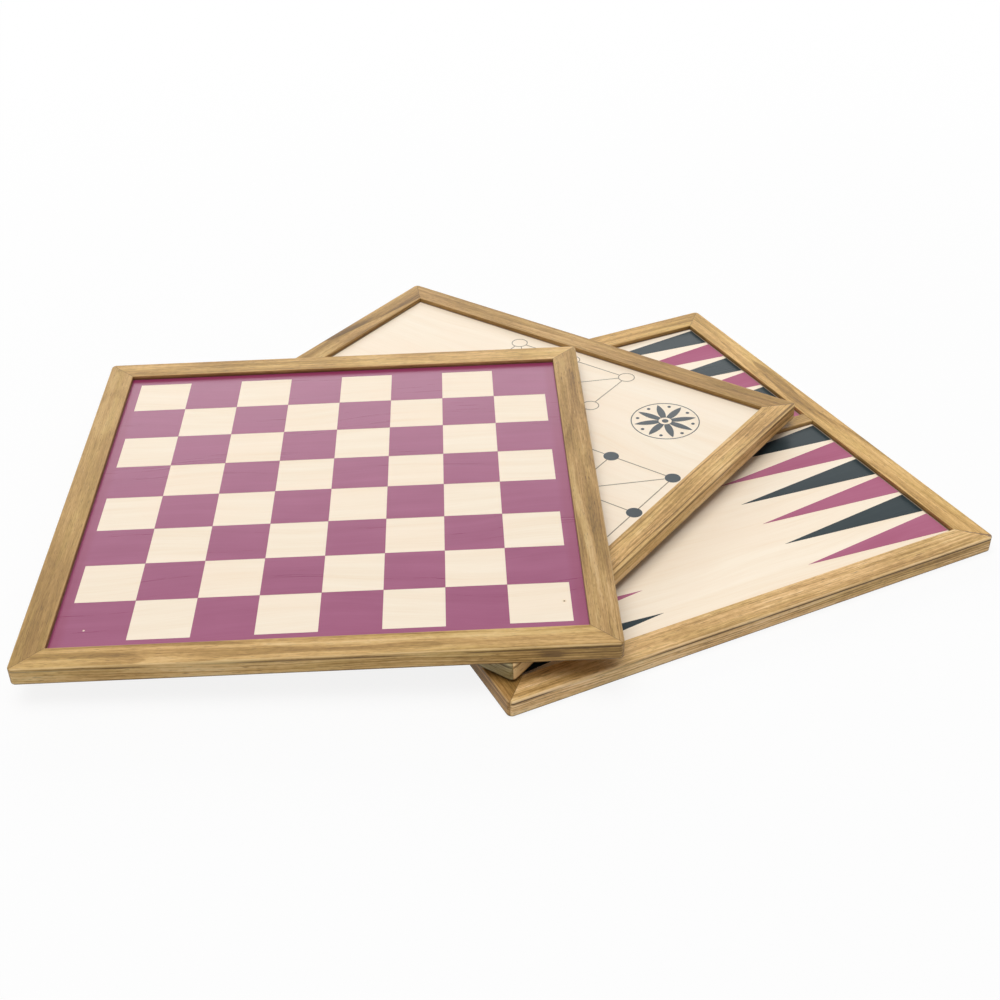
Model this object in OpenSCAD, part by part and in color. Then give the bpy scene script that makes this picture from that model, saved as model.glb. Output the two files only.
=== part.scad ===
// Three game boards in mitred wooden frames, fanned out on each other:
// backgammon flat on the table, a cross-shaped line game in the middle and chess on top.
// The upper two are square, and the backgammon board is a little longer from left to right.
// Each board is four grooved rails round a thin plywood panel that carries the printed field.
// The line game board overhangs the backgammon board, so it tips until its panel meets that
// board's corner, and the chess board lies flat on it with the same lean.
// The origin lies on the table under the middle of the whole group, with +X right and +Y away.

/* [Frames] */
// Outer side of a board
board_side = 300; // [260:5:380]
// Width of a rail seen from above
rail_w = 15.6; // [12:0.2:22]
// Height of a rail, which is the thickness of a board
rail_h = 9.8; // [7.8:0.2:13]
// Radius of a frame's outer corners seen from above
corner_r = 3; // [1.2:0.2:4]
// Rounding along the outer edges of a rail
outer_ease = 0.8; // [0.4:0.1:1.1]
// Rounding along the inner edges of a rail
inner_ease = 0.4; // [0.2:0.1:0.8]

/* [Panels] */
// Thickness of a plywood panel
panel_t = 2.5; // [1.8:0.1:3.6]
// Depth of a playing face below the frame's top
recess = 2.8; // [2:0.1:3.4]
// Depth of the groove that holds a panel
groove_d = 5; // [3.5:0.5:6]
// Room for a panel to move across in its groove
panel_gap = 0.5; // [0.3:0.1:1]
// Room over the print in the groove
groove_play = 0.15; // [0.1:0.05:0.4]

/* [Corner nails] */
// Distance of a nail's bend from the two outer faces
nail_inset = 5; // [4:0.25:5.5]
// Length of each arm of a nail
nail_arm = 5; // [3:0.5:8]
// Thickness of the nail's steel strip
nail_t = 0.5; // [0.3:0.1:0.8]
// Depth of the strip in the wood
nail_h = 4.6; // [3:0.2:6]
// How far a nail is sunk into the underside
nail_sink = 0.4; // [0.2:0.1:0.8]
// Room round a nail in its slot
nail_play = 0.05; // [0.03:0.01:0.1]

/* [Printing] */
// Thickness of a printed layer
print_t = 0.1; // [0.06:0.02:0.2]
// Bare line between a print and the frame
print_gap = 0.1; // [0.05:0.05:1]

/* [Chess board] */
// Squares along each side
squares = 8; // [6:2:12]
// Printed border between the squares and the frame
chess_margin = 7; // [4:0.2:20]
// Width of the ink bridge where two dark squares meet
ink_bridge = 0.1; // [0.06:0.02:0.4]
// Shift of the squares to the board's right
chess_shift_x = -0.5; // [-2:0.1:2]
// Shift of the squares towards the board's far side
chess_shift_y = -0.4; // [-2:0.1:2]

/* [Line game] */
// Distance of the outermost crossings from the frame
line_margin = 8.4; // [8.4:0.2:20]
// Width of a printed line
line_w = 0.6; // [0.4:0.1:1.2]
// Radius of a filled station
spot_r = 4.6; // [3:0.2:5.4]
// Outer radius of an open station
ring_r = 5.4; // [4:0.2:5.6]
// Shift of the print to the board's right
line_shift_x = 1.4; // [-2.6:0.2:2.6]
// Shift of the print towards the board's far side
line_shift_y = -2.4; // [-2.6:0.2:2.6]

/* [Rosette] */
// Radius of the rosette in the line game's far right corner
rosette_r = 21; // [14:0.5:24]
// Distance of the rosette's middle from the two nearest rails
rosette_inset = 43; // [32:1:56]
// Petals of the rosette
petals = 8; // [4:1:10]
// Width of a petal at its middle
petal_w = 4.6; // [2.4:0.2:6]
// Radius of the eye in the middle
eye_r = 2; // [1:0.25:3]
// Radius of the beads between the petals' tips
bead_r = 1.1; // [0.6:0.1:1.6]

/* [Backgammon board] */
// How much longer the board's front and back rails are than its sides
backgammon_extra = 4.6; // [0:0.2:12]
// Length of a point from its base to its tip
point_len = 89.6; // [60:0.2:105]
// Room between a point's base and the frame
base_gap = 0.6; // [0.2:0.1:3]
// Shift of the points towards the board's far side
point_shift_y = 0.4; // [-0.6:0.1:0.6]
// Bare gap between neighbouring bases
point_gap = 3; // [1:0.2:8]
// Bare strip between the outermost points and the frame
field_margin = 3; // [1.5:0.5:10]
// Bare strip between the bar and the next points
bar_margin = 2; // [1:0.5:8]
// Width of the wooden bar
bar_w = 9.6; // [6:0.2:20]
// How far the bar's top lies below the frame's top
bar_drop = 0.3; // [0.2:0.1:0.8]
// Rounding along the bar's upper edges
bar_ease = 0.5; // [0.2:0.1:0.8]
// Clearance between the bar's ends and the frame
bar_end_gap = 0.1; // [0.05:0.05:0.5]

/* [Arrangement] */
// Turn of the backgammon board, in degrees
backgammon_turn = 24.9; // [20:0.1:30]
// Turn of the line game board, in degrees
line_turn = -38.3; // [-44:0.1:-34]
// Turn of the chess board, in degrees
chess_turn = 0; // [-8:0.5:8]
// Middle of the line game board, right of the backgammon board's before it leans
line_x = -97; // [-110:0.1:-84]
// Middle of the line game board, beyond the backgammon board's
line_y = 24.4; // [14:0.1:34]
// Middle of the chess board, right of the backgammon board's before it leans
chess_x = -167.6; // [-180:0.1:-140]
// Middle of the chess board, beyond the backgammon board's
chess_y = -33.7; // [-48:0.1:-14]
// Clearance between the leaning board and what it rests on
rest_gap = 0.05; // [0.02:0.01:0.3]

/* [Hidden] */
$fn = 48;
// Overshoot of a cut past the faces it opens
cut = 1;

half = board_side / 2;
reach_in = half - rail_w;
field = 2 * reach_in;

// Half the length and half the depth of a board seen from above
square_board = [half, half];
long_board = [half + backgammon_extra / 2, half];

panel_z = rail_h - recess - panel_t;
face_z = rail_h - recess;
groove_h = panel_t + print_t + groove_play;

cell = (field - 2 * chess_margin) / squares;

line_pitch = (reach_in - line_margin) / 3;

// Side of the area that a print can cover
sheet = field - 2 * print_gap;

half_run = reach_in - bar_w / 2 - bar_margin - field_margin;
point_pitch = (half_run + point_gap) / 6;
point_base = point_pitch - point_gap;
base_x = long_board[0] - rail_w - base_gap;

// Where the line game board rests, seen from above with the backgammon board's middle at zero.
// It tips over the two crossings of its own inner edges with the backgammon board's outer ones.

function along(turn) = [cos(turn), sin(turn)];
function across(turn) = [-sin(turn), cos(turn)];

// The point p with n1 * p = d1 and n2 * p = d2
function crossing(n1, d1, n2, d2) =
    [d1 * n2[1] - d2 * n1[1], d2 * n1[0] - d1 * n2[0]] / (n1[0] * n2[1] - n1[1] * n2[0]);

line_mid = [line_x, line_y];
top_edge = half - outer_ease;
under_edge = reach_in + inner_ease;
near_rest = crossing(-along(backgammon_turn), top_edge + long_board[0] - half,
    -across(line_turn), under_edge - across(line_turn) * line_mid);
far_rest = crossing(across(backgammon_turn), top_edge,
    across(line_turn), under_edge + across(line_turn) * line_mid);

// Its panel comes down on the backgammon board's back left corner, or its own corner on the table
tip_axis = (far_rest - near_rest) / norm(far_rest - near_rest);
tip_side = [-tip_axis[1], tip_axis[0]];
under_corner = (half - corner_r) * across(backgammon_turn)
    - (long_board[0] - corner_r) * along(backgammon_turn) + (corner_r - outer_ease) * tip_side;
corner_lever = (under_corner - near_rest) * tip_side;
table_lever = (line_mid - near_rest) * tip_side
    + half * (abs(along(line_turn) * tip_side) + abs(across(line_turn) * tip_side));
lean = min(asin(panel_z / corner_lever), asin(rail_h / table_lever));

// The lean as a matrix, a turn by -lean round tip_axis
level = [[1, 0, 0], [0, 1, 0], [0, 0, 1]];
axis_outer = [for (a = tip_axis) [for (b = tip_axis) a * b * (1 - cos(lean))]];
leaning = [
    [cos(lean) + axis_outer[0][0], axis_outer[0][1], -sin(lean) * tip_axis[1]],
    [axis_outer[1][0], cos(lean) + axis_outer[1][1], sin(lean) * tip_axis[0]],
    [sin(lean) * tip_axis[1], -sin(lean) * tip_axis[0], cos(lean)]
];
pivot = [near_rest[0], near_rest[1], rail_h];
function leaned(p) = pivot + leaning * (p - pivot) + [0, 0, rest_gap];

// Middle, lean, turn and size of each board
boards = [
    [[0, 0, rail_h / 2], level, backgammon_turn, long_board],
    [leaned([line_x, line_y, 1.5 * rail_h]), leaning, line_turn, square_board],
    [leaned([chess_x, chess_y, 2.5 * rail_h]), leaning, chess_turn, square_board]
];

// How far a board reaches from its middle along row k of its lean
function reach(board, k) =
    let (row = board[1][k], x = row * concat(along(board[2]), 0), y = row * concat(across(board[2]), 0))
    (board[3][0] - corner_r) * abs(x) + (board[3][1] - corner_r) * abs(y)
        + (corner_r - outer_ease) * norm([x, y])
        + (rail_h / 2 - outer_ease) * abs(row[2]) + outer_ease;

group_mid = [for (k = [0, 1])
    (min([for (b = boards) b[0][k] - reach(b, k)]) + max([for (b = boards) b[0][k] + reach(b, k)])) / 2];

// Where each board lies

module from_group_mid() {
    translate([-group_mid[0], -group_mid[1], 0]) children();
}

module lean_over() {
    translate(pivot + [0, 0, rest_gap]) rotate(-lean, concat(tip_axis, 0)) translate(-pivot) children();
}

module on_backgammon() {
    from_group_mid() rotate(backgammon_turn) children();
}

module on_line_game() {
    from_group_mid() lean_over() translate([line_x, line_y, rail_h]) rotate(line_turn) children();
}

module on_chess() {
    from_group_mid() lean_over() translate([chess_x, chess_y, 2 * rail_h]) rotate(chess_turn) children();
}

// Frame

// Cross-section of a rail: x runs inwards from the outer face, y runs up
module rail_section() {
    difference() {
        union() {
            translate([outer_ease, 0]) square([rail_w - outer_ease - inner_ease, rail_h]);
            translate([0, outer_ease]) square([rail_w / 2, rail_h - 2 * outer_ease]);
            translate([rail_w / 2, inner_ease]) square([rail_w / 2, rail_h - 2 * inner_ease]);
            for (y = [outer_ease, rail_h - outer_ease]) translate([outer_ease, y]) circle(outer_ease);
            for (y = [inner_ease, rail_h - inner_ease]) translate([rail_w - inner_ease, y]) circle(inner_ease);
        }
        translate([rail_w - groove_d, panel_z]) square([groove_d + cut, groove_h]);
    }
}

// The outer strip of the section, measured outwards from the centre of the corner's arc
module corner_section() {
    intersection() {
        translate([corner_r, 0]) mirror([1, 0]) rail_section();
        square([corner_r, rail_h]);
    }
}

// The wedge between the two mitre planes of a front rail
module mitre_wedge(rail_half) {
    far = rail_half + cut;
    translate([0, 0, -cut]) linear_extrude(rail_h + 2 * cut)
        polygon([[0, 0], [far, -far], [-far, -far]]);
}

// A bent strip at a front rail's right end, with its arms along the two rails
module nail_bend(rail_half, t, z0, h) {
    s = rail_half - nail_inset;
    translate([s, -s, z0]) {
        translate([-nail_arm, -t / 2, 0]) cube([nail_arm + t / 2, t, h]);
        translate([-t / 2, -t / 2, 0]) cube([t, nail_arm + t / 2, h]);
    }
}

module nail_slot(rail_half) {
    nail_bend(rail_half, nail_t + 2 * nail_play, -cut, cut + nail_sink + nail_h + nail_play);
}

// Front rail of a square board, swept round half of each corner and cut at the mitres
module front_rail(rail_half) {
    run = rail_half - corner_r;
    difference() {
        union() {
            intersection() {
                translate([-run, -rail_half, 0]) rotate([90, 0, 90])
                    linear_extrude(2 * run) rail_section();
                mitre_wedge(rail_half);
            }
            for (hand = [0, 1]) mirror([hand, 0, 0])
                translate([run, -run, 0]) rotate(-90) rotate_extrude(angle = 45) corner_section();
        }
        nail_slot(rail_half);
        rotate(-90) nail_slot(rail_half);
    }
}

// Side k of a board, 0 front, 1 right, 2 back and 3 left, from what lies at a square board's front
module at_side(k, board) {
    rotate(90 * k) translate([0, board[k % 2] - board[(k + 1) % 2], 0]) children();
}

module rail(k, board = square_board) {
    color("#b98f5a") at_side(k, board) front_rail(board[k % 2]);
}

module panel(board = square_board) {
    size = 2 * (board - (rail_w - groove_d + panel_gap) * [1, 1]);
    color("#f3e3c6") translate([-size[0] / 2, -size[1] / 2, panel_z]) cube([size[0], size[1], panel_t]);
}

module corner_nails(board = square_board) {
    color("#9a9c9f") for (k = [0 : 3])
        at_side(k, board) nail_bend(board[k % 2], nail_t, nail_sink, nail_h);
}

// A flat printed layer on a playing face
module ink() {
    translate([0, 0, face_z]) linear_extrude(print_t) children();
}

// Backgammon

module backgammon_bar() {
    bar_h = recess - bar_drop;
    run = 2 * (long_board[0] - rail_w - bar_end_gap);
    color("#bd9460") translate([-run / 2, 0, face_z]) rotate([90, 0, 90]) linear_extrude(run) {
        translate([-bar_w / 2, 0]) square([bar_w, bar_h - bar_ease]);
        translate([-bar_w / 2 + bar_ease, 0]) square([bar_w - 2 * bar_ease, bar_h]);
        for (x = [-1, 1]) translate([x * (bar_w / 2 - bar_ease), bar_h - bar_ease]) circle(bar_ease);
    }
}

// Number i of the twelve points along one side, counted from the near end
module point(i, side) {
    past_bar = i < 6 ? -1 : 1;
    step = i < 6 ? 5 - i : i - 6;
    y = past_bar * (bar_w / 2 + bar_margin + point_base / 2 + step * point_pitch);
    base = side * base_x;
    tip = side * (base_x - point_len);
    polygon([[base, y - point_base / 2], [tip, y], [base, y + point_base / 2]]);
}

// Every second point of both sides; facing points have unlike colours
module points(first) {
    ink() translate([0, point_shift_y])
        for (i = [0 : 11], side = [-1, 1]) if ((i + (side > 0 ? 1 : 0)) % 2 == first) point(i, side);
}

module backgammon_dark_points() {
    color("#55606a") points(0);
}

module backgammon_purple_points() {
    color("#a8668c") points(1);
}

// Line game: five squares of two cells each way make a cross, and each has both diagonals

module station(p) {
    translate(p * line_pitch) children();
}

stations = [for (x = [-3 : 3], y = [-3 : 3]) if (abs(x) < 2 || abs(y) < 2) [x, y]];
goal = [for (p = stations) if (p[0] > 0 && abs(p[1]) < 2) p];
open_stations = [for (p = stations) if (p[0] < 1 || abs(p[1]) > 1) p];

module printed_line(a, b) {
    d = (b - a) * line_pitch;
    station(a) rotate(atan2(d[1], d[0])) translate([0, -line_w / 2]) square([norm(d), line_w]);
}

module cross_lines() {
    for (k = [-3 : 3]) {
        far = abs(k) < 2 ? 3 : 1;
        printed_line([-far, k], [far, k]);
        printed_line([k, -far], [k, far]);
    }
    for (c = [[0, 0], [2, 0], [-2, 0], [0, 2], [0, -2]], s = [-1, 1])
        printed_line(c + [-1, -s], c + [1, s]);
}

module line_game_lines() {
    color("#7d715c") ink() translate([line_shift_x, line_shift_y]) {
        difference() {
            cross_lines();
            for (p = open_stations) station(p) circle(ring_r - line_w / 2);
            for (p = goal) station(p) circle(spot_r + print_t);
        }
        for (p = open_stations) station(p) difference() {
            circle(ring_r);
            circle(ring_r - line_w);
        }
    }
}

module line_game_spots() {
    color("#55606a") ink() translate([line_shift_x, line_shift_y])
        for (p = goal) station(p) circle(spot_r);
}

// A compass-drawn rosette: lens-shaped petals and beads inside a ring, round a small eye
module line_game_rosette() {
    spread = 360 / petals;
    tip_r = rosette_r - 3 * line_w;
    bulge = petal_w / 2;
    arc_r = (tip_r * tip_r / 4 + bulge * bulge) / (2 * bulge);
    color("#55606a") ink() translate([reach_in - rosette_inset, reach_in - rosette_inset]) {
        difference() {
            circle(rosette_r, $fn = 96);
            circle(rosette_r - line_w, $fn = 96);
        }
        circle(eye_r);
        for (i = [0 : petals - 1]) rotate(i * spread) {
            difference() {
                intersection_for(side = [-1, 1])
                    translate([tip_r / 2, side * (arc_r - bulge)]) circle(arc_r, $fn = 96);
                circle(2 * eye_r);
            }
            rotate(spread / 2) translate([tip_r - 2 * bead_r, 0]) circle(bead_r);
        }
    }
}

// Chess

// One dark sheet over the whole field, with a window for each light square
module chess_print() {
    inset = ink_bridge / 2;
    color("#a8668c") ink() difference() {
        square(sheet, center = true);
        translate([chess_shift_x + inset, chess_shift_y + inset])
            for (col = [0 : squares - 1], row = [0 : squares - 1]) if ((col + row) % 2 == 1)
                translate([(col - squares / 2) * cell, (row - squares / 2) * cell]) square(cell - 2 * inset);
    }
}

on_backgammon() rail(0, long_board);  // backgammon_front_rail
on_backgammon() rail(1, long_board);  // backgammon_right_rail
on_backgammon() rail(2, long_board);  // backgammon_back_rail
on_backgammon() rail(3, long_board);  // backgammon_left_rail
on_backgammon() panel(long_board);  // backgammon_panel
on_backgammon() backgammon_bar();
on_backgammon() backgammon_dark_points();
on_backgammon() backgammon_purple_points();
on_backgammon() corner_nails(long_board);  // backgammon_corner_nails

on_line_game() rail(0);  // line_game_front_rail
on_line_game() rail(1);  // line_game_right_rail
on_line_game() rail(2);  // line_game_back_rail
on_line_game() rail(3);  // line_game_left_rail
on_line_game() panel();  // line_game_panel
on_line_game() line_game_lines();
on_line_game() line_game_spots();
on_line_game() line_game_rosette();
on_line_game() corner_nails();  // line_game_corner_nails

on_chess() rail(0);  // chess_front_rail
on_chess() rail(1);  // chess_right_rail
on_chess() rail(2);  // chess_back_rail
on_chess() rail(3);  // chess_left_rail
on_chess() panel();  // chess_panel
on_chess() chess_print();
on_chess() corner_nails();  // chess_corner_nails
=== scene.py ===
import math
from collections import namedtuple

import bpy
from mathutils import Matrix, Vector


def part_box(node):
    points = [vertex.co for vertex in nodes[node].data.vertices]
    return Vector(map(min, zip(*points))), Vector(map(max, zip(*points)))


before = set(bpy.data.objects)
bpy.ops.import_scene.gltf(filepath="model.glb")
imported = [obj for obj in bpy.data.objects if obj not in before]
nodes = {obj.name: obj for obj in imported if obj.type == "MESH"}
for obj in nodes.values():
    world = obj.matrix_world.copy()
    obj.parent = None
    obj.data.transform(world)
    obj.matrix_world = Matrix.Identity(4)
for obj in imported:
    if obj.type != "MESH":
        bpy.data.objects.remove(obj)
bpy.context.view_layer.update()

MM = 0.001
SIDES = ("front", "right", "back", "left")
BOARDS = ("backgammon", "line_game", "chess")


# Where the boards lie

def middle_of(node):
    return (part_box(node)[0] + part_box(node)[1]) / 2


def board_frame(board):
    """A board's origin, the middle of its underside, and its own axes: x along its front rail,
    y to its back rail, z out of its face."""
    panel = nodes[board + "_panel"].data
    centre = sum((v.co for v in panel.vertices), Vector()) / len(panel.vertices)
    by_length = {}
    for edge in panel.edges:
        start, stop = (panel.vertices[k].co for k in edge.vertices)
        along = stop - start
        by_length.setdefault(round(along.length, 6), []).append(along.normalized())
    thickness = min(length for length in by_length if length > 0)
    z = by_length[thickness][0]
    z = z if z.z > 0 else -z
    backwards = middle_of(board + "_back_rail") - middle_of(board + "_front_rail")
    level = [d for group in by_length.values() for d in group if abs(d.dot(z)) < 0.01]
    y = max((d * sign for d in level for sign in (1, -1)), key=lambda d: d.dot(backwards))
    x = y.cross(z).normalized()
    under = min((v.co - centre).dot(z) for v in nodes[board + "_front_rail"].data.vertices)
    return centre + z * under, Matrix((x, y, z)).transposed()


def extent(node, origin, axis):
    """From where to where a node reaches along an axis, in millimetres from the origin."""
    reach = [(v.co - origin).dot(axis) for v in nodes[node].data.vertices]
    return min(reach) / MM, max(reach) / MM


FRAMES = {board: board_frame(board) for board in BOARDS}
ORIGIN, AXES = FRAMES["backgammon"]

# In millimetres: from a square board's middle to its rails' outer and inner faces, and from its
# underside up to its panel's two faces and its rails' tops
HALF, INNER = (-reach for reach in extent("backgammon_front_rail", ORIGIN, AXES.col[1]))
UNDER, FACE = extent("backgammon_panel", ORIGIN, AXES.col[2])
TOP = extent("backgammon_front_rail", ORIGIN, AXES.col[2])[1]


# Colours

def linear(channel):
    """A display value, 0 to 255, as linear light, 0 to 1."""
    c = channel / 255
    return c / 12.92 if c <= 0.04045 else ((c + 0.055) / 1.055) ** 2.4


def srgb(*rgb):
    """A display colour, 0 to 255, as the linear colour that a socket takes."""
    return tuple(linear(channel) for channel in rgb) + (1.0,)


Tones = namedtuple("Tones", "stain dark low middle high pale")
PINE = Tones((80, 56, 26), (126, 94, 48), (160, 124, 66), (190, 151, 90), (219, 180, 118), (236, 204, 150))
PINE_GREEN = srgb(240, 246, 222)
GLUE = srgb(74, 54, 30)
FILLER = (srgb(104, 76, 50), srgb(150, 122, 96))
# Painted shade for the rails' inner faces just above the panel
INNER_FACE_SHADE = srgb(92, 62, 32)

BIRCH = ((237, 216, 187), (241, 225, 202), (244, 230, 209), (246, 234, 217))
BIRCH_BLUSH = srgb(246, 224, 200)
BIRCH_KNOT = (srgb(240, 218, 186), srgb(120, 92, 58))
# The plywood's colour in a darker line next to the rails
BIRCH_EDGE_DARK = srgb(112, 82, 52)
BIRCH_RAW = srgb(226, 203, 168)

# Inks where they are thin and where they are full
PURPLE = (srgb(157, 80, 117), srgb(141, 60, 100))
SLATE = (srgb(34, 51, 58), srgb(22, 36, 42))
LINES = (srgb(140, 128, 106), srgb(112, 100, 80))
DARK_POINTS = (srgb(49, 62, 66), srgb(37, 49, 53))
PURPLE_POINTS = (srgb(188, 119, 145), srgb(175, 102, 129))
# The purple print's painted shade along the rails, where they shade it and hide the white world from its
# sheen, and a fleck in it where the panel shows
PURPLE_RAIL_SHADE = srgb(136, 36, 76)
CREAM = srgb(246, 230, 204)

STEEL = (srgb(138, 139, 141), srgb(176, 176, 178))


# Marks of the pine, whose sizes are in millimetres along the rail, across it and up

SWAY_GRAIN = (120, 24, 24)
SWAY = 5
# How the pith turns away from the rail's direction, in radians
PITH_DRIFT = (0, math.radians(0.5), math.radians(0.4))
# Long streaks, thin streaks, blotches and mottling: grain, detail, strength, share on the outer face
SEED_STEP = 2.3
STREAKS = (
    ((150, 2.8, 2.8), 2.0, 0.9, 0.7),
    ((60, 0.6, 0.6), 2.0, 0.5, 0.35),
    ((60, 26, 26), 1.0, 0.6, 1.0),
    ((4.2, 1.5, 1.5), 3.0, 0.4, 1.0),
)
SIDE_STREAK = (90, 9, 2.2)
KNOT_LENGTH, KNOT_HEIGHT = 9, 2.6
FIBRE = (9, 0.4, 0.4)
GREEN = (70, 7, 7)
TICK = (6, 0.4, 0.4)
# Patches of the pale outer edge, partly wear and partly painted highlight
WEAR_AND_HIGHLIGHT = (30, 8, 8)
# Patches and depth of a dark line just under a rail's outer upper edge
UNDER_EDGE_LINE = (60, 4, 4)
UNDER_EDGE_LINE_DEPTH = 1.6
FILLER_LUMP = (4, 4, 4)
# How high above the underside the painted shade at the foot of a rail's outer face lies
FOOT_SHADE_HEIGHT = 0.45

# Marks of the plywood, the inks and the steel, in millimetres along x, y and z of the board
PLY_SWAY_GRAIN = (90, 60, 60)
PLY_SWAY = 22
PLY_BROAD = (160, 7, 20)
PLY_FINE = (26, 0.8, 6)
PLY_BLUSH = (60, 34, 20)
INK_CLOUD = (30, 18, 18)
INK_SPECK = (1.1, 0.9, 1)
STEEL_BRUSH = (3, 3, 0.25)
# Where the painted shade on a print along the rails starts and is full, from the board's middle
RAIL_SHADE = (126, 131)
BACK_RAIL_SHADE = (128, 134)


# Shader building blocks

class Net:
    """The shader of a material or world under construction. The calls below add give back
    sockets, or the finished material."""

    def __init__(self, owner):
        self.owner = owner
        owner.use_nodes = True
        self.tree = owner.node_tree
        self.tree.nodes.clear()

    def put(self, socket, value):
        if isinstance(value, bpy.types.NodeSocket):
            self.tree.links.new(value, socket)
        else:
            socket.default_value = value

    def add(self, kind, inputs, **settings):
        """Adds a node and gives back the node itself."""
        node = self.tree.nodes.new(kind)
        for key, value in settings.items():
            setattr(node, key, value)
        for key, value in inputs.items():
            self.put(node.inputs[key], value)
        return node

    def math(self, operation, a, b=0.0, c=0.0):
        return self.add("ShaderNodeMath", {0: a, 1: b, 2: c}, operation=operation).outputs[0]

    def vector(self, operation, a, b=(0, 0, 0), c=(0, 0, 0)):
        node = self.add("ShaderNodeVectorMath", {0: a, 1: b, 2: c}, operation=operation)
        return node.outputs["Value" if operation == "LENGTH" else "Vector"]

    def point(self):
        return self.add("ShaderNodeTexCoord", {}).outputs["Object"]

    def placed(self, origin, axes):
        """Coordinates in millimetres along the given axes, measured from the origin."""
        return self.add("ShaderNodeMapping", {
            "Vector": self.point(), "Location": tuple(origin),
            "Rotation": tuple(axes.to_euler("XYZ")), "Scale": (MM, MM, MM),
        }, vector_type="TEXTURE").outputs[0]

    def parts(self, p):
        return self.add("ShaderNodeSeparateXYZ", {0: p}).outputs

    def noise(self, p, grain, seed, detail=2.0, rough=0.5, output="Fac"):
        """Noise whose features are about grain = (x, y, z) millimetres long."""
        q = self.vector("MULTIPLY_ADD", p, tuple(1 / g for g in grain), (seed, 1.7 * seed, -seed))
        return self.add("ShaderNodeTexNoise", {
            "Vector": q, "Scale": 1.0, "Detail": detail, "Roughness": rough}).outputs[output]

    def scale(self, x, low, high, out_low, out_high, **settings):
        """Goes in a straight line from out_low to out_high while x goes from low to high."""
        return self.add("ShaderNodeMapRange", {
            0: x, 1: low, 2: high, 3: out_low, 4: out_high}, **settings).outputs[0]

    def ease(self, x, low, high, out_low=0.0, out_high=1.0):
        """Like scale, with a soft start and a soft end."""
        return self.scale(x, low, high, out_low, out_high, interpolation_type="SMOOTHSTEP")

    def ramp(self, x, stops):
        stops = list(stops)
        node = self.add("ShaderNodeValToRGB", {0: x})
        elements = node.color_ramp.elements
        while len(elements) < len(stops):
            elements.new(1.0)
        for element, (position, colour) in zip(elements, stops):
            element.position = position
            element.color = colour
        return node.outputs[0]

    def mix(self, amount, a, b, blend="MIX"):
        """A mix of two colours, which are inputs 6 and 7 of the node and its output 2."""
        return self.add("ShaderNodeMix", {0: amount, 6: a, 7: b},
            data_type="RGBA", blend_type=blend).outputs[2]

    def dot(self, p, at, radius, soft):
        """1 inside a round mark on a face, 0 outside."""
        flat = self.vector("MULTIPLY_ADD", p, (1, 1, 0), (-at[0], -at[1], 0))
        return self.ease(self.vector("LENGTH", flat), radius - soft, radius + soft, 1.0, 0.0)

    def finish(self, colour, roughness, height, depth, specular=0.5, metallic=0.0):
        """The finished material. Depth is how many millimetres one unit of height stands out."""
        bump = self.add("ShaderNodeBump", {"Height": height, "Distance": depth * MM, "Strength": 1.0})
        shader = self.add("ShaderNodeBsdfPrincipled", {
            "Base Color": colour, "Roughness": roughness, "Normal": bump.outputs[0],
            "Metallic": metallic, "Specular IOR Level": specular})
        self.add("ShaderNodeOutputMaterial", {"Surface": shader.outputs[0]})
        return self.owner


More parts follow.
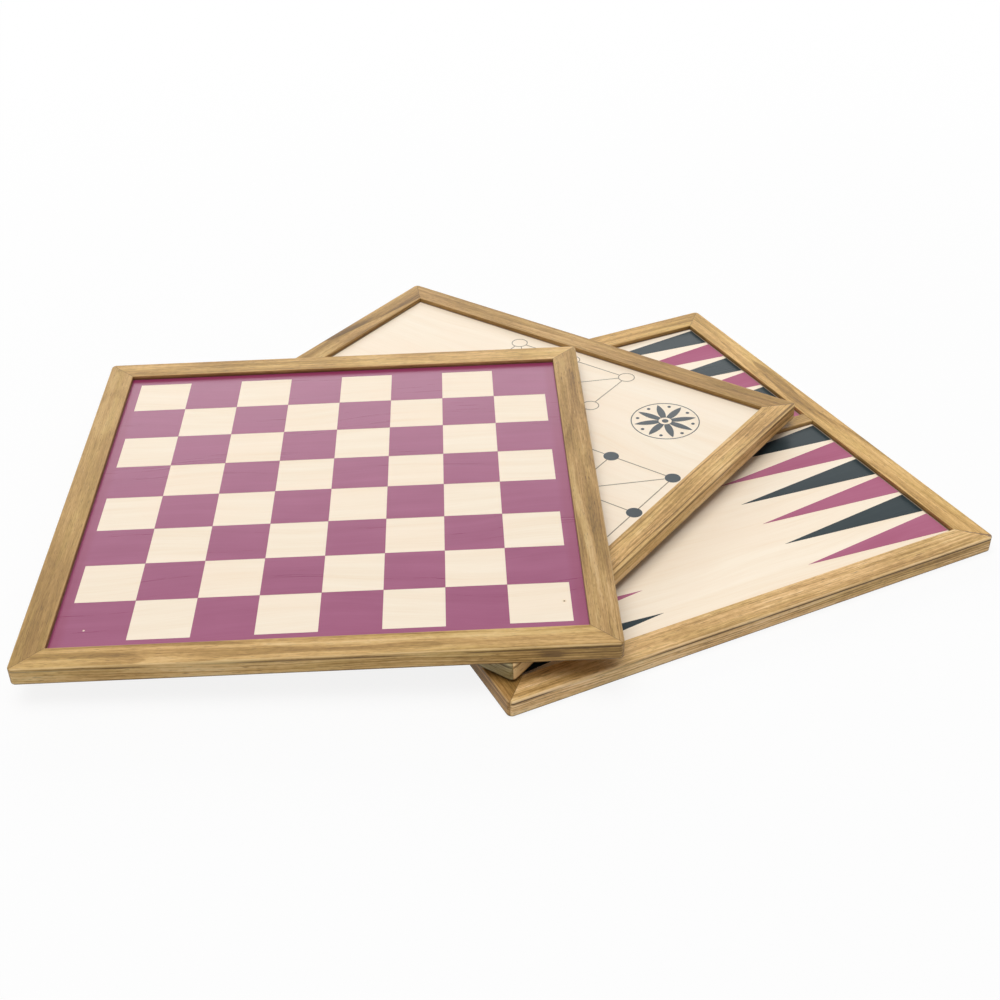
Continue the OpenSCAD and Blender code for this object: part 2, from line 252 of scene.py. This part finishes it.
class RailNet(Net):
    """The layers of a rail's wood. x runs along the rail, y = -HALF is its outer face and z = TOP
    its upper face. Tone is how light the wood is, about 0 to 1."""

    def __init__(self, name, origin, axes, seed):
        super().__init__(bpy.data.materials.new(name))
        self.seed = seed
        self.p = self.placed(origin, axes)
        self.x, self.y, self.z = self.parts(self.p)
        self.across = self.math("ADD", self.y, HALF)
        self.outer = self.ease(self.across, 0.2, 0.8, 1.0, 0.0)
        sway = self.noise(self.p, SWAY_GRAIN, seed, 1.0, 0.5, "Color")
        start = self.vector("ADD", self.p, (0, -SWAY / 2, -SWAY / 2))
        self.bent = self.vector("MULTIPLY_ADD", sway, (0, SWAY, SWAY), start)

    def late_wood(self, spacing, pith):
        """Year rings round a pith, given in millimetres in from the outer face and up from the
        underside. It drifts along the rail, and no two years are equally dark."""
        heart = self.add("ShaderNodeMapping", {
            "Vector": self.bent, "Location": (0, -HALF + pith[0], pith[1]), "Rotation": PITH_DRIFT,
        }, vector_type="TEXTURE").outputs[0]
        radius = self.vector("LENGTH", self.vector("MULTIPLY", heart, (0, 1, 1)))
        turns = self.math("ADD", self.math("DIVIDE", radius, spacing), 100.0 + self.seed)
        phase = self.math("FRACT", turns)
        year = self.add("ShaderNodeTexWhiteNoise", {"W": self.math("FLOOR", turns)},
            noise_dimensions="1D").outputs[0]
        late = self.math("MULTIPLY", self.ease(phase, 0.35, 0.9), self.ease(phase, 0.92, 1.0, 1.0, 0.0))
        strength = self.math("MULTIPLY_ADD", self.math("POWER", year, 2.0), 0.85, 0.15)
        return self.math("MULTIPLY", late, strength)

    def with_streaks(self, tone, contrast):
        for grain, detail, amount, on_side in STREAKS:
            self.seed += SEED_STEP
            swing = self.math("SUBTRACT", self.noise(self.bent, grain, self.seed, detail, 0.6), 0.5)
            swing = self.math("MULTIPLY", swing, self.scale(self.outer, 0.0, 1.0, 1.0, on_side))
            tone = self.math("MULTIPLY_ADD", swing, amount * contrast, tone)
        return tone

    def with_patches(self, tone, patches):
        """Each patch is (x, y, length, width, slope, lighter or darker) on the upper face."""
        for at_x, at_y, length, width, slope, amount in patches:
            away = self.vector("MULTIPLY_ADD", self.bent,
                (1 / length, 1 / width, 0), (-at_x / length, -at_y / width, 0))
            lean = self.math("MULTIPLY", self.parts(away)[0], -slope * length / width)
            away = self.vector("ADD", away, self.add("ShaderNodeCombineXYZ", {1: lean}).outputs[0])
            inside = self.ease(self.vector("LENGTH", away), 0.55, 1.1, 1.0, 0.0)
            tone = self.math("MULTIPLY_ADD", inside, amount, tone)
        return tone

    def with_outer_face(self, tone, side, knots):
        """Side is how much lighter or darker the outer face is painted at its left and right end, painted
        light and shade for how the lamps fall on it. Knots are (x, height) on it."""
        streak = self.math("SUBTRACT", self.noise(self.bent, SIDE_STREAK, self.seed + 5, 3.0, 0.6), 0.5)
        # Painted light and shade on the outer face, from its left end to its right end
        lighter = self.scale(self.x, -HALF, HALF, *side)
        change = self.math("MULTIPLY_ADD", streak, 1.2, lighter)
        tone = self.math("MULTIPLY_ADD", change, self.outer, tone)
        for at_x, at_z in knots:
            away = self.vector("MULTIPLY_ADD", self.bent,
                (1 / KNOT_LENGTH, 0, 1 / KNOT_HEIGHT), (-at_x / KNOT_LENGTH, 0, -at_z / KNOT_HEIGHT))
            knot = self.ease(self.vector("LENGTH", away), 0.2, 1.2, -0.5, 0.0)
            tone = self.math("ADD", tone, self.math("MULTIPLY", knot, self.outer))
        return tone

    def stained(self, tone, tones):
        """The tone as a colour, greenish here and there and with short dark ticks."""
        stops = zip((0.02, 0.27, 0.5, 0.73, 1.0), tones[1:])
        colour = self.ramp(tone, stops)
        green = self.ease(self.noise(self.bent, GREEN, self.seed + 9, 2.0, 0.5), 0.42, 0.66, 0.0, 0.5)
        colour = self.mix(green, colour, self.mix(1.0, colour, PINE_GREEN, "MULTIPLY"))
        ticks = self.ease(self.noise(self.p, TICK, self.seed + 11, 1.0, 0.5), 0.62, 0.73, 0.0, 0.6)
        return self.mix(ticks, colour, tones.stain)

    def from_edge(self, at):
        """Millimetres from the upper edge that lies this far from the board's middle."""
        offset = self.vector("SUBTRACT", self.p, (0, -at, TOP))
        return self.vector("LENGTH", self.vector("MULTIPLY", offset, (0, 1, 1)))

    def with_edges(self, colour, tones, line):
        """The rounded outer edge is painted pale and the inner one a little lighter, each partly as wear and
        partly as a painted highlight. Line is how strong a dark line is that runs in patches just under the
        outer one."""
        # Partly wear and partly painted highlight on the rounded outer edge
        wear_and_highlight = self.scale(self.noise(self.p, WEAR_AND_HIGHLIGHT, self.seed + 13, 2.0, 0.6), 0.35, 0.6, 0.25, 1.0)
        wear_and_highlight = self.math("MULTIPLY", self.ease(self.from_edge(HALF), 0.4, 0.8, 0.75, 0.0), wear_and_highlight)
        colour = self.mix(wear_and_highlight, colour, tones.pale)
        # Partly wear and partly painted highlight on the inner upper edge
        colour = self.mix(self.ease(self.from_edge(INNER), 0.3, 0.8, 0.5, 0.0), colour, tones.high)
        # A dark line just under the outer upper edge, in patches
        from_line = self.math("ABSOLUTE", self.math("SUBTRACT", self.z, TOP - UNDER_EDGE_LINE_DEPTH))
        under_edge_line = self.math("MULTIPLY", self.ease(from_line, 0.2, 0.75, line, 0.0),
            self.ease(self.across, 0.3, 0.9, 1.0, 0.0))
        patchy = self.ease(self.noise(self.p, UNDER_EDGE_LINE, self.seed + 15, 1.0, 0.5), 0.32, 0.48)
        return self.mix(self.math("MULTIPLY", under_edge_line, patchy), colour, tones.stain)

    def from_mitre(self, end):
        """Distance along the rail from the nearer mitre, where |x| - end = -y."""
        along = self.math("ABSOLUTE", self.x)
        return self.math("ABSOLUTE", self.math("ADD", along, self.math("ADD", self.y, -end)))

    def at_end(self, left, right):
        """One value on the left half of the rail and another on the right half."""
        return self.scale(self.x, -1.0, 1.0, left, right)

    def with_filler(self, colour, gap, filler):
        """Filler is how wide a badly closed mitre is at the rail's left and right end."""
        ragged = self.noise(self.p, FILLER_LUMP, self.seed + 17, 3.0, 0.6)
        wide = self.math("MULTIPLY", self.at_end(*filler), self.scale(ragged, 0.3, 0.7, 0.2, 1.5))
        wide = self.math("MULTIPLY", wide, self.scale(self.across, 0.0, HALF - INNER, 1.0, 0.1))
        filled = self.ease(self.math("SUBTRACT", gap, wide), -0.5, 0.0, 0.9, 0.0)
        return self.mix(filled, colour, self.mix(ragged, *FILLER))

    def with_painted_shade(self, colour, tones, inner_shade):
        """The last argument is how strong the painted shade is on the inner face just above the panel. The
        underside and lower rounding are painted darker as shade, and so is a line at the foot of the outer
        face, where no light comes from below."""
        # Painted shade on the inner face just above the panel
        lip = self.math("MULTIPLY", self.ease(self.math("SUBTRACT", self.z, FACE), 0.2, 2.2, inner_shade, 0.2),
            self.ease(self.across, HALF - INNER - 0.5, HALF - INNER - 0.1))
        colour = self.mix(lip, colour, INNER_FACE_SHADE)
        # Painted shade on the underside and lower rounding, where no light comes from below
        colour = self.mix(self.ease(self.z, 0.2, 0.9, 0.45, 0.0), colour, tones.low)
        # Painted shade in a line at the foot of the outer face
        from_foot = self.math("ABSOLUTE", self.math("SUBTRACT", self.z, FOOT_SHADE_HEIGHT))
        shaded_foot = self.math("MULTIPLY", self.ease(from_foot, 0.2, 0.8, 0.75, 0.0),
            self.ease(self.across, 0.7, 1.2, 1.0, 0.0))
        return self.mix(shaded_foot, colour, tones.stain)


# Materials

def wood_tones(middle):
    """The pine's tones, all tinted like the middle one that is given."""
    tint = [a / b for a, b in zip(srgb(*middle)[:3], srgb(*PINE.middle)[:3])]
    return Tones(*(tuple(min(1.0, c * t) for c, t in zip(srgb(*tone)[:3], tint)) + (1.0,) for tone in PINE))


def rail_wood(name, origin, axes, seed, middle, end=0.0, spacing=1.5, pith=(6, -45), ring=0.5,
              contrast=1.0, line=0.7, side=(-0.05, -0.05), joint=(0.6, 0.6), filler=(0, 0),
              inner_shade=0.8, patches=(), knots=()):
    """Stained pine. Middle is its middle colour, and end is how much longer than a square board's
    rail it is at each end. Spacing is the year rings' width and ring their strength, contrast the
    strength of rings and streaks, and joint that of the glue line at the left and right end."""
    net = RailNet(name, origin, axes, seed)
    tones = wood_tones(middle)
    late = net.late_wood(spacing, pith)
    tone = net.math("MULTIPLY_ADD", late, -ring * contrast, 0.5 + 0.18 * ring * contrast)
    tone = net.with_streaks(tone, contrast)
    tone = net.with_patches(tone, patches)
    tone = net.with_outer_face(tone, side, knots)
    fibre = net.noise(net.p, FIBRE, net.seed + 7, 3.0, 0.65)
    tone = net.math("MULTIPLY_ADD", net.math("SUBTRACT", fibre, 0.5), 0.85, tone)
    colour = net.stained(tone, tones)
    colour = net.with_edges(colour, tones, line)
    gap = net.from_mitre(end)
    if any(filler):
        colour = net.with_filler(colour, gap, filler)
    glued = net.math("MULTIPLY", net.ease(gap, 0.08, 0.34, 1.0, 0.0), net.at_end(*joint))
    colour = net.mix(glued, colour, GLUE)
    colour = net.with_painted_shade(colour, tones, inner_shade)
    roughness = net.scale(fibre, 0.3, 0.7, 0.46, 0.6)
    height = net.math("MULTIPLY_ADD", fibre, 0.7, net.math("MULTIPLY", late, 0.3))
    height = net.math("SUBTRACT", height, glued)
    return net.finish(colour, roughness, height, 0.03, 0.35)


def veneer(net, p, seed):
    """How light the plywood's face grain is, 0 to 1; the grain runs along x."""
    sway = net.noise(p, PLY_SWAY_GRAIN, seed, 0.0, 0.5, "Color")
    bent = net.vector("MULTIPLY_ADD", sway, (0, PLY_SWAY, 0), p)
    broad = net.noise(bent, PLY_BROAD, seed + 2, 3.0, 0.55)
    fine = net.noise(bent, PLY_FINE, seed + 4, 3.0, 0.6)
    return net.math("ADD", net.math("MULTIPLY", broad, 0.62), net.math("MULTIPLY", fine, 0.38))


def panel_wood(name, origin, axes, seed, knots=(), painted_light=1.0, longer=0.0):
    """Pale sealed plywood, whose shades can be lifted as painted light for a panel that the lamps light
    less. Its underside is unsanded and a little greyer. Longer is how much further than a square board's its
    left and right edges lie."""
    net = Net(bpy.data.materials.new(name))
    p = net.placed(origin, axes)
    x, y, z = net.parts(p)
    grain = veneer(net, p, seed)
    blush = net.noise(p, PLY_BLUSH, seed + 6, 2.0, 0.5)
    shades = [srgb(*(min(255, c * painted_light) for c in shade)) for shade in BIRCH]
    colour = net.ramp(grain, zip((0.25, 0.45, 0.6, 0.8), shades))
    colour = net.mix(net.ease(blush, 0.4, 0.68, 0.0, 0.28), colour, BIRCH_BLUSH)
    for at, radius in knots:
        colour = net.mix(net.dot(p, at, 2.2 * radius, 1.2 * radius), colour, BIRCH_KNOT[0])
        colour = net.mix(net.dot(p, at, radius, 0.5 * radius), colour, BIRCH_KNOT[1])
    # The panel is darker in a line next to the rails, where it goes into them
    past_side = net.math("SUBTRACT", net.math("ABSOLUTE", x), INNER + longer)
    past_end = net.math("SUBTRACT", net.math("ABSOLUTE", y), INNER)
    stained = net.ease(net.math("MAXIMUM", past_side, past_end), -0.9, -0.4, 0.0, 0.75)
    colour = net.mix(stained, colour, BIRCH_EDGE_DARK)
    colour = net.mix(net.ease(z, UNDER + 0.4, UNDER + 0.9, 0.7, 0.0), colour, BIRCH_RAW)
    roughness = net.scale(grain, 0.3, 0.7, 0.42, 0.5)
    return net.finish(colour, roughness, grain, 0.012, 0.35)


def printed(name, origin, axes, seed, thin, full, flecks=(), specks=0.0, gloss=0.5, rail_shade=None):
    """Satin screen print; the plywood's grain shows through it and leaves it thinner in places.
    Flecks are (place, radius, colour), specks the strength of tiny thin spots, and the last colour is
    painted shade on a print that reaches all rails, near its left, right and back rails and deeper by the
    back one, where they shade it."""
    net = Net(bpy.data.materials.new(name))
    p = net.placed(origin, axes)
    grain = veneer(net, p, seed)
    cloud = net.noise(p, INK_CLOUD, seed + 8, 2.0, 0.5)
    amount = net.math("MULTIPLY_ADD", cloud, 0.4, net.math("SUBTRACT", grain, 0.2))
    colour = net.ramp(amount, [(0.2, full), (0.8, thin)])
    if rail_shade:
        # Painted shade near the left, right and back rails, deeper by the back one
        x, y = net.parts(p)[:2]
        reach = net.math("MAXIMUM", net.math("ABSOLUTE", x), y)
        colour = net.mix(net.ease(reach, *RAIL_SHADE, 0.0, 0.35), colour, rail_shade)
        colour = net.mix(net.ease(y, *BACK_RAIL_SHADE, 0.0, 0.5), colour, rail_shade)
    if specks:
        tiny = net.noise(p, INK_SPECK, seed + 10, 1.0, 0.5)
        colour = net.mix(net.ease(tiny, 0.74, 0.8, 0.0, specks), colour, thin)
    for at, radius, paint in flecks:
        colour = net.mix(net.dot(p, at, radius, 0.6 * radius), colour, paint)
    roughness = net.scale(grain, 0.3, 0.7, 0.26, 0.34)
    return net.finish(colour, roughness, cloud, 0.01, gloss)


def nail_steel(name, origin, axes):
    """Bright steel, brushed along its length."""
    net = Net(bpy.data.materials.new(name))
    brushed = net.noise(net.placed(origin, axes), STEEL_BRUSH, 2.0, 2.0, 0.6)
    colour = net.ramp(brushed, zip((0.3, 0.7), STEEL))
    return net.finish(colour, net.scale(brushed, 0.3, 0.7, 0.32, 0.5), brushed, 0.01, 0.5, 1.0)


# What each piece is dressed in

# Side paints light and shade onto each rail's outer face, lighter or darker towards its left and right end
RAILS = {
    "chess_front_rail": dict(seed=1.3, middle=(181, 142, 82), side=(0.22, 0.02), knots=[(114, 5)], patches=[
        (35, -139, 120, 3.0, 0.006, 0.2), (-95, -142, 55, 3.0, -0.02, -0.16), (105, -138, 50, 4, 0, 0.12)]),
    "chess_right_rail": dict(seed=4.1, middle=(164, 127, 73), patches=[
        (-45, -145, 62, 4.5, 0.04, -0.26), (-50, -138.5, 70, 2.6, 0.045, 0.26), (120, -141, 22, 5, 0, 0.1)]),
    "chess_back_rail": dict(seed=7.7, middle=(189, 149, 89)),
    "chess_left_rail": dict(seed=9.2, middle=(170, 133, 76), contrast=0.5, patches=[
        (-86, -142, 28, 9, 0, 0.2), (-130, -142, 18, 9, 0, 0.1), (118, -143, 30, 4, 0, -0.12)]),
    # The line game's rails get a weaker painted shade on their inner faces
    "line_game_front_rail": dict(seed=12.4, middle=(146, 128, 84), side=(0.0, 0.0), inner_shade=0.4),
    "line_game_right_rail": dict(
        seed=15.9, middle=(185, 144, 84), side=(0.2, 0.16), inner_shade=0.4, pith=(-48, -20), spacing=2.2,
        ring=0.75, contrast=1.3, joint=(0.6, 0.95), filler=(0, 0.9)),
    "line_game_back_rail": dict(
        seed=18.5, middle=(169, 130, 73), inner_shade=0.4, joint=(0.95, 0.6), filler=(0.9, 0)),
    "line_game_left_rail": dict(seed=21.6, middle=(169, 130, 73), inner_shade=0.4),
    "backgammon_front_rail": dict(
        seed=24.8, middle=(198, 157, 99), side=(0.2, 0.06), line=0.95, ring=0.4, contrast=1.25,
        filler=(0, 1.9)),
    "backgammon_right_rail": dict(seed=27.3, middle=(199, 157, 92), contrast=0.85, filler=(1.9, 0)),
    "backgammon_back_rail": dict(seed=30.7, middle=(189, 147, 82)),
    "backgammon_left_rail": dict(seed=33.2, middle=(165, 124, 68)),
}


def dress(node, material):
    slots = nodes[node].material_slots
    for slot in slots:
        slot.material = material
    if not slots:
        nodes[node].data.materials.append(material)


for board in BOARDS:
    origin, axes = FRAMES[board]
    rails = [f"{board}_{side}_rail" for side in SIDES]
    turned = [axes @ Matrix.Rotation(math.radians(90 * k), 3, "Z") for k in range(4)]
    # How much further out than HALF each rail's outer face lies on a board that isn't square
    past = [-extent(rails[k], origin, turned[k].col[1])[0] - HALF for k in range(4)]
    for k, node in enumerate(rails):
        middle = origin - turned[k].col[1] * past[k] * MM
        dress(node, rail_wood(node + "_wood", middle, turned[k], end=past[k - 1], **RAILS[node]))
    dress(board + "_corner_nails", nail_steel(board + "_nail_steel", origin, axes))

# Place is a board's origin and axes and the seed of its plywood
place = (*FRAMES["chess"], 40.0)
dress("chess_panel", panel_wood("chess_panel_wood", *place, knots=[((123.3, -111.5), 0.5)]))
dress("chess_print", printed("chess_print_ink", *place, *PURPLE,
    flecks=[((-118.6, -118.8), 0.5, CREAM)], specks=0.4, gloss=0.43, rail_shade=PURPLE_RAIL_SHADE))

place = (*FRAMES["line_game"], 50.0)
dress("line_game_panel", panel_wood("line_game_panel_wood", *place))
dress("line_game_lines", printed("line_game_line_ink", *place, *LINES))
dress("line_game_spots", printed("line_game_spot_ink", *place, *SLATE, gloss=0.4))
dress("line_game_rosette", printed("line_game_rosette_ink", *place, *SLATE, gloss=0.4))

place = (*FRAMES["backgammon"], 60.0)
longer = extent("backgammon_right_rail", ORIGIN, AXES.col[0])[1] - HALF
# Painted light: the backgammon plywood is made lighter, as the boards above leave it less lit
dress("backgammon_panel", panel_wood("backgammon_panel_wood", *place, painted_light=1.03, longer=longer))
dress("backgammon_dark_points", printed("backgammon_slate_ink", *place, *DARK_POINTS, gloss=0.12))
dress("backgammon_purple_points", printed("backgammon_purple_ink", *place, *PURPLE_POINTS,
    specks=0.3, gloss=0.0))
dress("backgammon_bar", rail_wood("backgammon_bar_wood", ORIGIN, AXES,
    seed=36.1, middle=(190, 150, 88), line=0.0, joint=(0, 0)))


# Floor, world, lights and camera

def background_rays(net):
    """1 for what the camera sees, directly, in a reflection or through glass."""
    path = net.add("ShaderNodeLightPath", {}).outputs
    total = path["Is Camera Ray"]
    for name in ("Is Glossy Ray", "Is Transmission Ray"):
        total = net.math("MAXIMUM", total, path[name])
    return total


def white_paper(near, far, share):
    """White paper that shows the object's shadow close to it and is plain white further off.
    Up to near metres from the middle it is plain white by this share, and from far metres on it
    is so in full."""
    net = Net(bpy.data.materials.new("studio_paper"))
    plain = net.ease(net.vector("LENGTH", net.point()), near, far, share, 1.0)
    seen = net.math("MULTIPLY", background_rays(net), plain)
    paper = net.add("ShaderNodeBsdfDiffuse", {"Color": (0.9, 0.9, 0.9, 1)})
    white = net.add("ShaderNodeEmission", {"Strength": 1.0})
    mixed = net.add("ShaderNodeMixShader", {0: seen, 1: paper.outputs[0], 2: white.outputs[0]})
    net.add("ShaderNodeOutputMaterial", {"Surface": mixed.outputs[0]})
    return net.owner


def make_floor(half, z):
    mesh = bpy.data.meshes.new("studio_floor")
    corners = [(-half, -half, z), (half, -half, z), (half, half, z), (-half, half, z)]
    mesh.from_pydata(corners, [], [(0, 1, 2, 3)])
    floor = bpy.data.objects.new("studio_floor", mesh)
    bpy.context.scene.collection.objects.link(floor)
    mesh.materials.append(white_paper(near=0.35, far=1.1, share=0.86))


def make_world(fill):
    """White where it is seen or mirrored, and a plain fill light for everything else."""
    world = bpy.data.worlds.new("studio")
    bpy.context.scene.world = world
    net = Net(world)
    strength = net.scale(background_rays(net), 0.0, 1.0, fill, 1.0)
    back = net.add("ShaderNodeBackground", {"Color": (1, 1, 1, 1), "Strength": strength})
    net.add("ShaderNodeOutputWorld", {"Surface": back.outputs[0]})


def softbox(name, place, width, height, watts):
    """A softbox that is aimed at the frame's origin."""
    light = bpy.data.lights.new(name, "AREA")
    light.shape = "RECTANGLE"
    light.size = width
    light.size_y = height
    light.energy = watts
    lamp = bpy.data.objects.new(name, light)
    lamp.location = place
    lamp.rotation_euler = (-Vector(place)).to_track_quat("-Z", "Y").to_euler()
    lamp.visible_camera = False
    bpy.context.scene.collection.objects.link(lamp)


def make_camera():
    """The camera as it was fitted to the photo."""
    data = bpy.data.cameras.new("camera")
    data.sensor_width = 36
    data.lens = 54.0778
    data.shift_x = 0.02006
    data.clip_start = 0.01
    camera = bpy.data.objects.new("camera", data)
    right = Vector((0.999578, -0.029001, -0.00145))
    up = Vector((0.017738, 0.570328, 0.821224))
    seen_from = Matrix((right, up, right.cross(up))).transposed().to_4x4()
    seen_from.translation = Vector((-0.045239, -0.756506, 0.50444))
    camera.matrix_world = seen_from
    bpy.context.scene.collection.objects.link(camera)
    bpy.context.scene.camera = camera


make_floor(half=6.0, z=-0.0001)
make_world(fill=0.25)
softbox("key", (-0.8, -0.6, 6.0), width=5.0, height=5.0, watts=292)
softbox("back", (-0.2, 2.2, 0.95), width=3.0, height=0.8, watts=18)
make_camera()

bpy.context.scene.view_settings.view_transform = "Standard"
